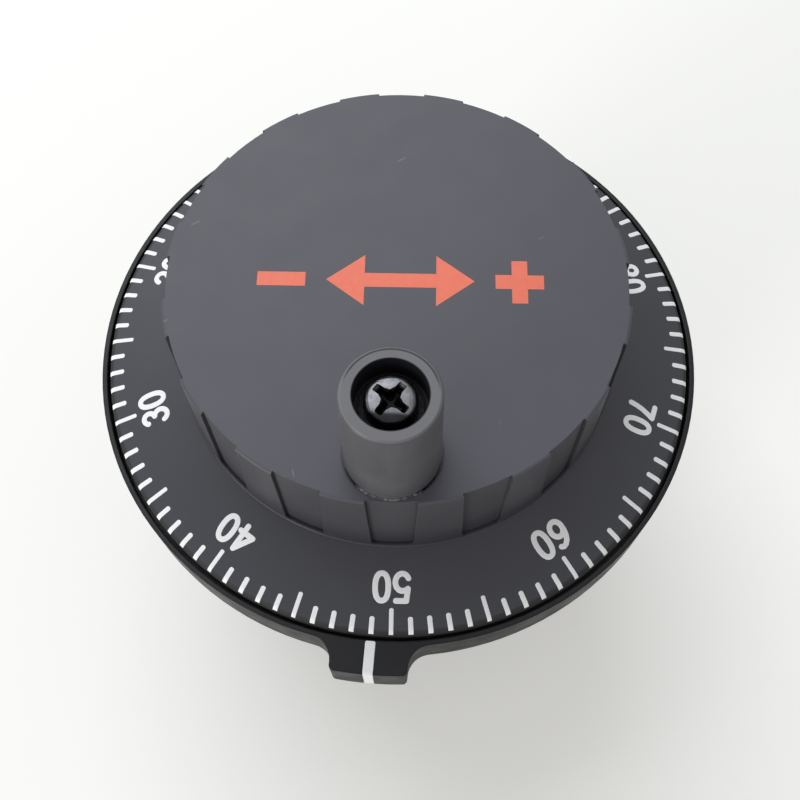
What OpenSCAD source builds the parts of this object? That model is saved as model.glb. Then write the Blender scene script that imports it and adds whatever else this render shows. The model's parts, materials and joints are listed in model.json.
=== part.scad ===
// Pulse generator handwheel: a panel-mounted hand wheel with a numbered dial of one
// hundred divisions, a small spinning crank handle, a magnetic detent and a slotted
// code disc.
// Frame: the origin is on the shaft axis, in the plane of the panel seat (the back face of
// the flange). +Z points out of the panel to the operator. The index tab points to -Y.
// All sizes are in millimetres.

/* [Bezel and panel] */
// Outside diameter of the bezel ring
bezel_d = 80; // [79.6:0.2:82]
// Height of the bezel ring above the panel
bezel_h = 6.8; // [6.2:0.1:7.4]
// Thickness of the flange floor inside the bezel ring
floor_t = 4.5; // [4.2:0.1:4.8]
// Wall of the bezel ring at its open edge
rim_t = 0.65; // [0.6:0.05:0.8]
// Width of the index tab
tab_w = 9.5; // [8:0.5:12]
// How far the index tab reaches past the bezel ring
tab_reach = 3.5; // [2.5:0.5:5]
// Radius of the hollow corners where the tab meets the ring
tab_root_r = 3; // [2:0.5:4]
// Width of the index line's groove in the tab
index_w = 1.24; // [1:0.04:1.6]
// Depth of the index line's groove
index_t = 0.15; // [0.1:0.05:0.3]
// Pitch circle of the tapped panel holes
bolt_circle_d = 72; // [71:0.2:72.4]
// Tapping diameter of the panel holes, for M4
tapped_d = 3.3; // [3.2:0.05:3.4]
// Outside diameter of the body behind the panel
body_d = 60; // [59.6:0.2:61]
// Wall of the body behind the panel
shell_t = 2.4; // [2.2:0.1:2.6]
// Rear wall of the body
rear_t = 2.5; // [2.3:0.1:3]
// Room between the circuit board and the rear wall
rear_room = 0.9; // [0.7:0.1:3]
// Width of the gasket in the panel seat
gasket_w = 2; // [1.6:0.1:2]
// Thickness of the gasket
gasket_t = 1.2; // [1:0.1:1.5]

/* [Dial and knob] */
// Height above the panel at which the dial's coned face would meet its rim
dial_face_h = 7.7; // [7.5:0.1:8.2]
// Rise of the dial's coned face from its rim to the knob's foot
dial_rise = 2.6; // [1.5:0.1:3]
// Radial gap between the dial and the bezel ring
dial_gap = 0.5; // [0.4:0.1:0.8]
// Thickness of the dial plate
dial_t = 2.3; // [2:0.1:2.6]
// Diameter of the knob across its lands, at the top
knob_d = 56.4; // [55:0.2:57]
// Height of the knob's top above the knob's foot
knob_h = 15.1; // [14:0.1:16.5]
// Growth of the knob's radius from its top to its foot
knob_draft = 0.25; // [0:0.05:0.3]
// Radius of the hollow blend at the knob's foot
foot_r = 0.25; // [0.15:0.05:0.3]
// Number of finger pockets round the knob
pocket_count = 16; // [8:1:20]
// Width of a finger pocket at the top, in degrees
pocket_top_deg = 12; // [9:0.5:13]
// Width of a finger pocket at the bottom, in degrees
pocket_foot_deg = 10.4; // [8:0.4:10.8]
// Depth of a finger pocket
pocket_depth = 0.45; // [0.3:0.05:0.6]
// Height of a pocket's lower end above the knob's foot
pocket_sill_h = 0.3; // [0.3:0.1:2]
// Radius of a pocket's lower corners
pocket_corner_r = 0.6; // [0.4:0.1:0.8]
// Divisions by which the wheel is turned at rest, from 50 at the index
divisions_turned = 1; // [0:1:99]

/* [Crank handle] */
// Distance of the crank handle's axis from the knob's edge
crank_inset = 6.15; // [6:0.05:6.6]
// Height of the crank handle above the knob
crank_h = 16.5; // [15:0.5:22]
// Diameter of the crank handle at its top
crank_top_d = 10.5; // [10:0.1:11]
// Diameter of the crank handle at its foot
crank_foot_d = 11; // [10.8:0.1:11.2]
// Diameter of the counterbore in the crank handle
counterbore_d = 7.7; // [7.2:0.1:8]
// Depth of the counterbore in the crank handle
counterbore_h = 3.6; // [3.2:0.1:5]

/* [Shaft and bearings] */
// Bore of the ball bearings and diameter of the shaft
shaft_d = 8; // [8:1:8]
// Outside diameter of the ball bearings
bearing_d = 22; // [22:1:22]
// Width of a ball bearing
bearing_w = 7; // [7:1:7]
// Space between the two bearings
bearing_gap = 4; // [3.6:0.2:4.4]
// Diameter of the wheel end and of the rotor end of the shaft
seat_d = 6; // [5.8:0.1:6.2]
// Running clearance on a radius
running_c = 0.06; // [0.04:0.01:0.08]

/* [Detent and encoder] */
// Teeth on the detent rotor
rotor_teeth = 20; // [20:20:20]
// Teeth on the detent stator
stator_teeth = 25; // [25:25:25]
// Width of the stator ring, teeth included
stator_w = 3.6; // [3.4:0.1:4]
// Air gap between the rotor and the stator
air_gap = 0.4; // [0.35:0.05:0.5]
// Slots in the code disc, one for each pulse
disc_slots = 100; // [100:50:100]
// How far the code disc reaches past the rotor
disc_reach = 2.5; // [2.2:0.1:2.6]
// Thickness of the rotor magnet
magnet_t = 3; // [2.5:0.25:3.5]
// Thickness of each toothed rotor plate
plate_t = 1; // [0.8:0.1:1.2]

/* [Terminals] */
// Number of screw terminals
terminal_count = 4; // [4:1:4]
// Distance between screw terminals
terminal_pitch = 9; // [8.6:0.1:9.2]
// Width of the terminal block
block_w = 14; // [13.4:0.2:15]
// Thickness of the terminal block's base
block_t = 4.4; // [4.2:0.1:5]
// Thickness of a terminal barrier
barrier_t = 1.4; // [1.2:0.1:1.6]
// Height of the terminal barriers above the block's base
barrier_h = 5.6; // [5.4:0.1:7]
// Thickness of the contacts and their square washers
contact_t = 0.8; // [0.7:0.1:0.9]

/* [Fasteners] */
// Radius of the M3 screws
m3_r = 1.5; // [1.5:0.1:1.5]
// Radius of the M2.5 screws
m25_r = 1.25; // [1.25:0.1:1.25]
// Radial play of a screw in its tapped hole
tapped_c = 0.02; // [0.01:0.01:0.03]
// Radial play of a screw or pin in a plain hole
plain_c = 0.1; // [0.08:0.01:0.15]

/* [Hidden] */
$fn = 72;
e = 0.01;
// --- heights in front of the panel ---
bezel_r = bezel_d / 2;
dial_r = bezel_r - rim_t - dial_gap;
dial_edge_r = 1;
knob_r = knob_d / 2;
knob_foot_r = knob_r + knob_draft;
knob_foot_z = dial_face_h + dial_rise;
dial_slope = dial_rise / (dial_r - knob_foot_r);
dial_tilt = atan(dial_slope);
top_z = knob_foot_z + knob_h;
knob_wall = 2.8;
knob_in_r = knob_r - knob_wall;
crank_r = knob_r - crank_inset;
top_t = 3;
turn = divisions_turned * 3.6;
pocket_pitch = 360 / pocket_count;
// --- bearings and tower ---
front_z = -1.5;
rear_z = front_z - bearing_gap - bearing_w;
seal_h = 2.3;
tower_z = front_z + bearing_w + seal_h;
shaft_r = shaft_d / 2;
bearing_r = bearing_d / 2;
tower_r = bearing_r + 3;
ball_count = 7;
ball_r = (bearing_r - shaft_r) * 0.2834;
ball_pitch_r = (bearing_r + shaft_r) / 2;
groove_r = ball_r + 0.046;
inner_lip_r = ball_pitch_r - 0.756 * ball_r;
outer_lip_r = ball_pitch_r + 0.806 * ball_r;
spring_h = 0.9;
spring_r = bearing_r - 0.2;
seat_lip = 1.3;
// --- shaft ends and hub ---
seat_r = seat_d / 2;
wheel_seat_z = tower_z + 0.8;
insert_h = 12;
insert_r = 6;
hub_r = 8.5;
grub_r = 1.5;
grub_z = [wheel_seat_z + 4.2, wheel_seat_z + 9];
// --- rotor stack, from the shaft's rear shoulder backwards ---
rotor_z = rear_z - 1.4;
clip_t = 0.8;
hub_flange_t = 1.1;
plate_front_z = rotor_z - hub_flange_t;
magnet_z = plate_front_z - plate_t;
plate_rear_z = magnet_z - magnet_t;
stack_z = plate_rear_z - plate_t;
disc_t = 0.3;
disc_z = stack_z - 1.7;
nut_t = 2;
nut_z = disc_z - disc_t;
hub_end_z = nut_z - nut_t;
end_screw_l = 7.6;
end_washer_t = 0.4;
body_r = body_d / 2;
rotor_hub_r = seat_r + 2;
cup_r = body_r - 9.2;
stator_r = cup_r - 1.8;
stator_tip_r = stator_r - stator_w;
rotor_r = stator_tip_r - air_gap;
magnet_r = rotor_r - 2;
disc_r = rotor_r + disc_reach;
slot_at = disc_r - 3.1;
slot_len = 2;
sensor_at = slot_at + slot_len / 2;
tooth_depth = 1.5;
// --- body behind the panel ---
shell_in_r = body_r - shell_t;
gasket_in_r = body_r + 1.2;
gasket_out_r = gasket_in_r + gasket_w;
spigot_r = shell_in_r - 0.05;
boss_r = 3.4;
boss_at = shell_in_r - 3;
boss_deg = [90, 210, 330];
board_t = 1.6;
board_screw_l = board_t + rear_room + 1.5;
board_z = hub_end_z - 3;
board_r = shell_in_r - 1;
part_w = 8;
part_h = 1.6;
pad_at = body_r - 10;
pad_r = 3;
body_depth = board_t - board_z + rear_room + rear_t;
pad_deg = [30, 150, 270];
// --- crank stack ---
washer_foot_t = 0.3;
sleeve_z = top_z + washer_foot_t + 0.12;
crank_top_z = top_z + crank_h;
ledge_z = crank_top_z - counterbore_h;
bushing_r = 2.3;
bushing_top_z = ledge_z + 0.2;
crank_washer_t = 0.4;
head_z = bushing_top_z + crank_washer_t;
head_r = 2.75;
crank_insert_h = 8;
crank_insert_r = 2.4;
// --- terminals ---
contact_z = -body_depth - block_t;
screw_z = contact_z - 2 * contact_t;
terminal_x = [for (i = [0 : terminal_count - 1]) (i - (terminal_count - 1) / 2) * terminal_pitch];
block_half = (terminal_count * terminal_pitch + barrier_t) / 2;
ear_at = block_half + 3;
ear_t = 3;
pin_y = block_w / 2 - 2.2;
pin_r = 0.5;
contact_w = terminal_pitch - barrier_t - 1.2;
washer_w = contact_w - 0.4;

black = [0.2, 0.2, 0.22];
steel = [0.72, 0.73, 0.75];
dark_steel = [0.3, 0.3, 0.32];
nickel = [0.62, 0.6, 0.58];
brass = [0.78, 0.66, 0.38];

// A tube from z0 upwards
module tube(r_out, r_in, z0, h) {
  translate([0, 0, z0])
    difference() {
      cylinder(r = r_out, h = h);
      translate([0, 0, -1]) cylinder(r = r_in, h = h + 2);
    }
}

// Something repeated at the given angles on a circle
module at_angles(list, r) {
  for (a = list) rotate([0, 0, a]) translate([r, 0, 0]) children();
}

// Everything on the wheel, at its rest angle
module turned() {
  rotate([0, 0, turn]) children();
}

// Places the crank handle's parts on their axis
module on_crank() {
  turned() translate([0, -crank_r, 0]) children();
}

// Points of an arc
function arc(cx, cy, r, a0, a1, n) =
  [for (i = [0 : n]) let (a = a0 + (a1 - a0) * i / n) [cx + r * cos(a), cy + r * sin(a)]];

// A pan head that faces +Z, with its seat at z = 0
module pan_head(r, h) {
  rotate_extrude()
    polygon(concat([[0, 0], [r, 0]], arc(r - 0.35 * h, 0.6 * h, 0.35 * h, 0, 60, 3),
      [[0.45 * r, h], [0, h]]));
}

// A screw whose seat is at z = 0 and whose shank goes down
module screw(shank_r, length, head_r, head_h) {
  pan_head(head_r, head_h);
  translate([0, 0, -length]) cylinder(r = shank_r, h = length + e);
}

// ---------------------------------------------------------------- fixed body

function tab_side() =
  let (hx = tab_w / 2, cx = hx + tab_root_r, rr = bezel_r + tab_root_r,
    cy = -sqrt(rr * rr - cx * cx), end_r = bezel_r + tab_reach, rc = 0.6,
    kx = hx - rc, ky = -sqrt((end_r - rc) * (end_r - rc) - kx * kx),
    a_ring = atan2(-cy, -cx), a_end = atan2(ky, kx))
  concat(arc(cx, cy, tab_root_r, a_ring, 180, 8), arc(kx, ky, rc, 0, a_end, 4),
    arc(0, 0, end_r, a_end, -90, 4));

module tab_shape() {
  right = tab_side();
  left = [for (i = [len(right) - 2 : -1 : 0]) [-right[i][0], right[i][1]]];
  polygon(concat(right, left, [[0, -bezel_r + 1.5]]));
}

// Space of the index line, from the middle of the tab's front edge, with a round inner end
module index_groove() {
  inner_y = tab_reach + rim_t - index_w / 2 - 0.1;
  translate([-index_w / 2, -1, bezel_h - index_t]) cube([index_w, inner_y + 1, 1]);
  translate([0, inner_y, bezel_h - index_t]) cylinder(d = index_w, h = 1, $fn = 32);
  translate([-index_w / 2, -1, -1]) cube([index_w, 1 + index_t, bezel_h + 2]);
}

// Flange, bezel ring with its index tab, bearing tower and stator cup in one casting
module bezel() {
  color(black)
  difference() {
    union() {
      cylinder(r = bezel_r, h = floor_t, $fn = 180);
      tube(bezel_r, bezel_r - rim_t, 0, bezel_h, $fn = 180);
      difference() {
        linear_extrude(bezel_h) tab_shape();
        translate([0, 0, floor_t]) cylinder(r = bezel_r - rim_t, h = bezel_h, $fn = 180);
      }
      translate([0, 0, rear_z]) cylinder(r = tower_r, h = tower_z - rear_z);
      tube(cup_r, stator_r - 1.5, plate_front_z, -plate_front_z + e);
      tube(cup_r, stator_r, stack_z - 0.4, plate_front_z - stack_z + 0.4 + e);
      tube(spigot_r, spigot_r - 1.5, -3, 3 + e);
    }
    // bearing seats on both sides of the shoulder
    translate([0, 0, front_z]) cylinder(r = bearing_r, h = bearing_w + seal_h + 1);
    translate([0, 0, rear_z - 1]) cylinder(r = bearing_r, h = bearing_w + spring_h + 1);
    translate([0, 0, rear_z])
      cylinder(r = bearing_r - seat_lip - 0.2, h = bearing_gap + 2 * bearing_w);
    // tapped holes for the panel screws
    at_angles(boss_deg, bolt_circle_d / 2)
      translate([0, 0, -1]) cylinder(d = tapped_d, h = floor_t - 0.6 + 1, $fn = 32);
    // tapped holes for the shell screws, and room for the shell's bosses
    at_angles(boss_deg, boss_at) {
      translate([0, 0, -1]) cylinder(r = m3_r + tapped_c, h = 4.3, $fn = 32);
      translate([0, 0, -4]) cylinder(r = boss_r + 0.3, h = 4);
    }
    // groove for the index line, over the tab's top and down its front
    translate([0, -bezel_r - tab_reach, 0]) index_groove();
    // groove for the panel gasket
    tube(gasket_out_r, gasket_in_r, -1, gasket_t + 1);
  }
}

module panel_gasket() {
  color([0.1, 0.1, 0.1]) tube(gasket_out_r, gasket_in_r, 0, gasket_t);
}

// Dirt seal pressed into the tower in front of the front bearing
module shaft_seal() {
  color([0.12, 0.12, 0.12]) {
    tube(bearing_r, bearing_r - seat_lip, front_z + bearing_w, seal_h);
    tube(bearing_r - seat_lip, shaft_r + 0.35, tower_z - 1, 1);
  }
}

module outer_race(z) {
  translate([0, 0, z])
    difference() {
      cylinder(r = bearing_r, h = bearing_w);
      translate([0, 0, -1]) cylinder(r = outer_lip_r, h = bearing_w + 2);
      translate([0, 0, bearing_w / 2])
        rotate_extrude() translate([ball_pitch_r, 0]) circle(r = groove_r, $fn = 40);
    }
}

module outer_races() {
  color(steel) {
    outer_race(front_z);
    outer_race(rear_z);
  }
}

// Wave spring that preloads the rear bearing against the shoulder
module preload_spring() {
  color(steel) tube(spring_r, bearing_r - seat_lip, rear_z + bearing_w, spring_h);
}

// Toothed iron ring: twenty-five teeth against twenty give one hundred stops a turn
module detent_stator() {
  color([0.5, 0.5, 0.52])
  translate([0, 0, stack_z])
    linear_extrude(plate_front_z - stack_z)
      difference() {
        circle(r = stator_r);
        circle(r = stator_tip_r);
        for (i = [0 : stator_teeth - 1])
          rotate((i + 0.5) * 360 / stator_teeth)
            translate([stator_tip_r - 1, -0.95]) square([1 + tooth_depth, 1.9]);
      }
}

// Cup behind the panel that closes in the encoder
module rear_shell() {
  color([0.13, 0.13, 0.14])
  difference() {
    union() {
      difference() {
        translate([0, 0, -body_depth])
          rotate_extrude($fn = 120)
            polygon([[0, 0], [body_r - 0.8, 0], [body_r, 0.8], [body_r, body_depth],
              [0, body_depth]]);
        translate([0, 0, -body_depth + rear_t]) cylinder(r = shell_in_r, h = body_depth);
      }
      at_angles(boss_deg, boss_at)
        translate([0, 0, -body_depth + rear_t - e])
          cylinder(r = boss_r, h = body_depth - rear_t + e);
      at_angles(pad_deg, pad_at)
        translate([0, 0, -body_depth + rear_t - e])
          cylinder(r = pad_r, h = rear_room + e);
    }
    // shell screws and their head recesses
    at_angles(boss_deg, boss_at) {
      translate([0, 0, -body_depth - 1]) cylinder(r = m3_r + plain_c, h = body_depth + 2, $fn = 32);
      translate([0, 0, -body_depth - 1]) cylinder(r = 2.9, h = 4, $fn = 48);
    }
    // holes for the board screws
    at_angles(pad_deg, pad_at)
      translate([0, 0, board_z - board_screw_l - 0.2])
        cylinder(r = m25_r + tapped_c, h = board_screw_l + 2, $fn = 32);
    // holes for the contact pins
    for (x = terminal_x)
      translate([x, pin_y, -body_depth - 1]) cylinder(r = pin_r + plain_c, h = rear_t + 2, $fn = 24);
    // holes for the terminal block's screws
    for (s = [-1, 1])
      translate([s * ear_at, 0, -body_depth - 1])
        cylinder(r = m25_r + tapped_c, h = rear_t + 2, $fn = 32);
  }
}

module shell_screws() {
  color(steel)
    at_angles(boss_deg, boss_at)
      translate([0, 0, -body_depth + 3])
        mirror([0, 0, 1]) screw(m3_r, body_depth, 1.8 * m3_r, 1.27 * m3_r, $fn = 32);
}

module circuit_board() {
  color([0.08, 0.3, 0.16])
  translate([0, 0, board_z - board_t])
    difference() {
      cylinder(r = board_r, h = board_t);
      at_angles(boss_deg, boss_at) translate([0, 0, -1]) cylinder(r = boss_r + 0.4, h = 4);
      at_angles(boss_deg, boss_at + 4) translate([0, 0, -1]) cylinder(r = boss_r + 0.8, h = 4);
      at_angles(pad_deg, pad_at) translate([0, 0, -1]) cylinder(r = m25_r + plain_c, h = 4, $fn = 32);
      for (x = terminal_x) translate([x, pin_y, -1]) cylinder(r = pin_r + plain_c, h = 4, $fn = 24);
    }
}

module board_screws() {
  color(steel)
    at_angles(pad_deg, pad_at)
      translate([0, 0, board_z]) screw(m25_r, board_screw_l, 1.76 * m25_r, 1.2 * m25_r, $fn = 32);
}

// Reflective sensor that reads the code disc
module sensor_chip() {
  color([0.1, 0.1, 0.11])
  translate([0, sensor_at, board_z])
    difference() {
      translate([-3, -2.4, 0]) cube([6, 4.8, 3.2]);
      for (x = [-1.3, 1.3]) translate([x, 0, 2.8]) cylinder(r = 0.8, h = 1, $fn = 32);
    }
}

// Voltage regulator, line driver and two capacitors
module board_parts() {
  color([0.15, 0.15, 0.16])
  translate([0, 0, board_z]) {
    translate([-0.56 * board_r, -0.34 * board_r, 0]) cube([part_w * 0.8, part_w * 0.6, part_h]);
    translate([0.3 * board_r, -0.22 * board_r, 0]) cube([part_w, part_w * 0.6, part_h]);
    for (s = [-1, 1])
      translate([s * 0.34 * board_r, -0.52 * board_r, 0])
        cylinder(r = part_w * 0.25, h = part_h * 1.5);
  }
}

// Base with barriers between the terminals and an ear at each end
module terminal_block() {
  color([0.1, 0.1, 0.1])
  difference() {
    union() {
      translate([-block_half, -block_w / 2, contact_z]) cube([2 * block_half, block_w, block_t]);
      translate([-ear_at - 2.6, -4, -body_depth - ear_t]) cube([2 * ear_at + 5.2, 8, ear_t]);
      for (i = [0 : terminal_count])
        translate([(i - terminal_count / 2) * terminal_pitch - barrier_t / 2, -block_w / 2,
          contact_z - barrier_h])
          cube([barrier_t, block_w, barrier_h + e]);
    }
    for (x = terminal_x) {
      translate([x, 0, contact_z - 1]) cylinder(r = m3_r + tapped_c, h = block_t + 0.6, $fn = 32);
      translate([x, pin_y, contact_z - 1]) cylinder(r = pin_r + plain_c, h = block_t + 2, $fn = 24);
    }
    for (s = [-1, 1])
      translate([s * ear_at, 0, -body_depth - ear_t - 1])
        cylinder(r = m25_r + plain_c, h = ear_t + 2, $fn = 32);
  }
}

module block_screws() {
  color(steel)
    for (s = [-1, 1])
      translate([s * ear_at, 0, -body_depth - ear_t])
        mirror([0, 0, 1])
          screw(m25_r, ear_t + rear_t - 0.3, 1.76 * m25_r, 1.28 * m25_r, $fn = 32);
}

// Plates under the terminal screws, each with a pin through to the board
module terminal_contacts() {
  color(brass)
    for (x = terminal_x)
      translate([x, 0, contact_z - contact_t])
        difference() {
          union() {
            translate([-contact_w / 2, 1.4 - block_w / 2, 0])
              cube([contact_w, block_w - 2.6, contact_t]);
            translate([0, pin_y, contact_t - e])
              cylinder(r = pin_r, h = board_z - contact_z + 0.8, $fn = 24);
          }
          translate([0, 0, -1]) cylinder(r = m3_r + plain_c, h = 3, $fn = 32);
        }
}

module terminal_washers() {
  color(steel)
    for (x = terminal_x)
      translate([x, 0, screw_z])
        difference() {
          translate([-washer_w / 2, -washer_w / 2, 0]) cube([washer_w, washer_w, contact_t]);
          translate([0, 0, -1]) cylinder(r = m3_r + plain_c, h = 3, $fn = 32);
        }
}

module terminal_screws() {
  color(steel)
    for (x = terminal_x)
      translate([x, 0, screw_z])
        mirror([0, 0, 1])
          screw(m3_r, 2 * contact_t + block_t - 0.6, 1.87 * m3_r, 1.33 * m3_r, $fn = 32);
}

// ---------------------------------------------------------------- the wheel

// Height of the dial's coned face at a radius
function dial_z(r) = dial_face_h + dial_slope * (dial_r - r);

// Half section of the moulding, without its pockets
function wheel_profile() =
  let (skirt_z = floor_t + 0.5, ro = dial_r, skirt_r = ro - 2.2, hollow_r = knob_in_r + 1,
    foot_x = knob_foot_r + foot_r, edge_x = ro - dial_edge_r)
  concat(
    [[0, top_z]],
    arc(knob_r - 0.35, top_z - 0.35, 0.35, 90, 0, 4),
    arc(foot_x, dial_z(foot_x) + foot_r / cos(dial_tilt), foot_r, 180, 270 - dial_tilt, 7),
    arc(edge_x, dial_z(edge_x) - dial_edge_r / cos(dial_tilt), dial_edge_r, 90 - dial_tilt, 0, 7),
    [[ro, skirt_z], [skirt_r, skirt_z], [skirt_r, dial_z(skirt_r) - dial_t],
      [hollow_r, dial_z(hollow_r) - dial_t], [knob_in_r, dial_z(hollow_r) - dial_t + 1],
      [knob_in_r, top_z - top_t], [0, top_z - top_t]]);

// Radius of the knob's lands at a height
function land_r(z) = knob_r + knob_draft * (top_z - z) / knob_h;

// One pocket, cut along +X: sides that lean together downwards, round lower corners
module pocket_prism() {
  sill = knob_foot_z + pocket_sill_h;
  high_z = top_z + 1;
  top_half = land_r(top_z) * sin(pocket_top_deg / 2);
  foot_half = land_r(sill) * sin(pocket_foot_deg / 2);
  lean = atan((top_half - foot_half) / (top_z - sill));
  rc = pocket_corner_r;
  corner_x = foot_half - rc * (1 - sin(lean)) / cos(lean);
  side = concat(arc(corner_x, sill + rc, rc, -90, -lean, 5),
    [[top_half + (high_z - top_z) * tan(lean), high_z]]);
  other = [for (i = [len(side) - 1 : -1 : 0]) [-side[i][0], side[i][1]]];
  translate([knob_in_r, 0, 0])
    rotate([90, 0, 90]) linear_extrude(knob_wall + 5) polygon(concat(side, other));
}

// Space cut away for all finger pockets
module pockets() {
  low_z = knob_foot_z + pocket_sill_h - 1;
  high_z = top_z + 2;
  difference() {
    for (i = [0 : pocket_count - 1])
      rotate([0, 0, i * pocket_pitch - 90]) pocket_prism();
    translate([0, 0, low_z])
      cylinder(r1 = land_r(low_z) - pocket_depth, r2 = land_r(high_z) - pocket_depth,
        h = high_z - low_z, $fn = 180);
  }
}

// Knob, dial and hub in one moulding, with finger pockets round the knob
module handwheel() {
  color(black)
  turned()
  difference() {
    union() {
      difference() {
        rotate_extrude($fn = 180) polygon(wheel_profile());
        pockets();
      }
      translate([0, 0, wheel_seat_z]) cylinder(r = hub_r, h = top_z - top_t - wheel_seat_z + e);
      for (i = [0 : 7])
        rotate([0, 0, 22.5 + i * 45])
          translate([hub_r - 1, -0.8, tower_z + 2])
            cube([knob_in_r - hub_r + 1.4, 1.6, top_z - top_t - tower_z - 2 + e]);
      intersection() {
        translate([0, -crank_r, top_z - top_t - 6]) cylinder(r = 4.4, h = 6 + e);
        cylinder(r = knob_in_r + 1, h = 60);
      }
    }
    // seat of the threaded hub insert
    translate([0, 0, wheel_seat_z - 1]) cylinder(r = insert_r, h = insert_h + 1);
    // seat of the crank's threaded insert
    translate([0, -crank_r, top_z - crank_insert_h])
      cylinder(r = crank_insert_r, h = crank_insert_h + 1, $fn = 48);
    // ways in for the key that turns the grub screws
    for (z = grub_z)
      translate([0, insert_r - 0.5, z]) rotate([-90, 0, 0]) cylinder(r = 1.8, h = 30, $fn = 32);
  }
}

module hub_insert() {
  color(brass)
  turned()
  difference() {
    translate([0, 0, wheel_seat_z]) cylinder(r = insert_r, h = insert_h);
    translate([0, 0, wheel_seat_z - 1]) cylinder(r = seat_r, h = insert_h + 2);
    for (z = grub_z)
      translate([0, 0, z]) rotate([-90, 0, 0]) cylinder(r = grub_r + 0.02, h = 10, $fn = 32);
  }
}

// Two grub screws that bear on the shaft's flat
module grub_screws() {
  color([0.3, 0.3, 0.32])
  turned()
    for (z = grub_z)
      translate([0, seat_r - 0.4, z]) rotate([-90, 0, 0])
        difference() {
          cylinder(r = grub_r, h = 4, $fn = 32);
          translate([0, 0, 2.4]) cylinder(d = 1.73, h = 3, $fn = 6);
        }
}

module shaft() {
  color(steel)
  turned()
  difference() {
    union() {
      translate([0, 0, rotor_z]) cylinder(r = shaft_r, h = wheel_seat_z - rotor_z);
      translate([0, 0, front_z + bearing_w]) cylinder(r = inner_lip_r - 0.5, h = 0.9);
      difference() {
        translate([0, 0, wheel_seat_z - e]) cylinder(r = seat_r, h = insert_h - 0.6);
        translate([-5, seat_r - 0.4, wheel_seat_z + 1]) cube([10, 5, insert_h + 1]);
      }
      translate([0, 0, hub_end_z + 0.2]) cylinder(r = seat_r, h = rotor_z - hub_end_z);
    }
    // groove for the retaining ring
    tube(shaft_r + 1, shaft_r - 0.3, rear_z - clip_t, clip_t);
    // tapped hole for the end screw
    translate([0, 0, hub_end_z - 1]) cylinder(r = m3_r + tapped_c, h = end_screw_l + 1.4, $fn = 32);
  }
}

module inner_race(z) {
  translate([0, 0, z])
    difference() {
      cylinder(r = inner_lip_r, h = bearing_w);
      translate([0, 0, -1]) cylinder(r = shaft_r, h = bearing_w + 2);
      translate([0, 0, bearing_w / 2])
        rotate_extrude() translate([ball_pitch_r, 0]) circle(r = groove_r, $fn = 40);
    }
}

module inner_races() {
  color(steel) {
    inner_race(front_z);
    inner_race(rear_z);
  }
}

module bearing_spacer() {
  color(nickel) tube(inner_lip_r - 0.6, shaft_r, rear_z + bearing_w, bearing_gap);
}

module retaining_ring() {
  color([0.35, 0.35, 0.37])
  turned()
  difference() {
    tube(inner_lip_r - 0.4, shaft_r - 0.28, rear_z - clip_t, clip_t);
    translate([-shaft_r * 0.4, -2 * shaft_r, rear_z - clip_t - 1])
      cube([shaft_r * 0.8, 1.75 * shaft_r, clip_t + 2]);
  }
}

module rotor_hub() {
  color(brass)
  difference() {
    union() {
      translate([0, 0, plate_front_z]) cylinder(r = rotor_hub_r + 2.5, h = hub_flange_t);
      translate([0, 0, hub_end_z]) cylinder(r = rotor_hub_r, h = rotor_z - hub_end_z);
    }
    translate([0, 0, hub_end_z - 1]) cylinder(r = seat_r, h = rotor_z - hub_end_z + 2);
  }
}

module rotor_plate(z) {
  translate([0, 0, z])
    linear_extrude(plate_t)
      difference() {
        circle(r = rotor_r);
        circle(r = rotor_hub_r);
        for (i = [0 : rotor_teeth - 1])
          rotate((i + 0.5) * 360 / rotor_teeth)
            translate([rotor_r - tooth_depth, -1.15]) square([tooth_depth + 1, 2.3]);
      }
}

module rotor_plates() {
  color([0.5, 0.5, 0.52]) {
    rotor_plate(magnet_z);
    rotor_plate(stack_z);
  }
}

module rotor_magnet() {
  color([0.25, 0.25, 0.27]) tube(magnet_r, rotor_hub_r, plate_rear_z, magnet_t);
}

module disc_spacer() {
  color(nickel) tube(rotor_hub_r + 3, rotor_hub_r, disc_z, stack_z - disc_z);
}

// Slotted disc: one slot for each pulse, and one inner slot for the zero mark
module code_disc() {
  color(steel)
  turned()
  translate([0, 0, disc_z - disc_t])
    linear_extrude(disc_t)
      difference() {
        circle(r = disc_r);
        circle(r = rotor_hub_r);
        for (i = [0 : disc_slots - 1])
          rotate(i * 360 / disc_slots)
            translate([slot_at, -PI * slot_at / disc_slots / 2])
              square([slot_len, PI * slot_at / disc_slots]);
        translate([-0.3, -slot_at + 1]) square([0.6, 1.6]);
      }
}

module disc_nut() {
  color(nickel)
  translate([0, 0, hub_end_z])
    difference() {
      cylinder(r = rotor_hub_r + 2.5, h = nut_t, $fn = 6);
      translate([0, 0, -1]) cylinder(r = rotor_hub_r, h = nut_t + 2);
    }
}

module end_washer() {
  color(steel) tube(rotor_hub_r - 0.5, m3_r + plain_c, hub_end_z - end_washer_t, end_washer_t);
}

module end_screw() {
  color(steel)
    translate([0, 0, hub_end_z - end_washer_t])
      mirror([0, 0, 1]) screw(m3_r, end_screw_l, 1.8 * m3_r, 1.27 * m3_r, $fn = 32);
}

// ---------------------------------------------------------------- the crank

module crank_insert() {
  color(brass)
    on_crank()
      tube(crank_insert_r, m3_r + tapped_c, top_z - crank_insert_h, crank_insert_h, $fn = 48);
}

module foot_washer() {
  color(steel) on_crank() tube(crank_foot_d / 2 + 0.1, m3_r + plain_c, top_z, washer_foot_t);
}

module crank_bushing() {
  color(steel)
    on_crank()
      tube(bushing_r, m3_r + plain_c, top_z + washer_foot_t, bushing_top_z - top_z - washer_foot_t);
}

module crank_washer() {
  color(dark_steel) on_crank() tube(counterbore_d / 2 - 0.45, m3_r + plain_c, bushing_top_z, crank_washer_t);
}

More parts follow.
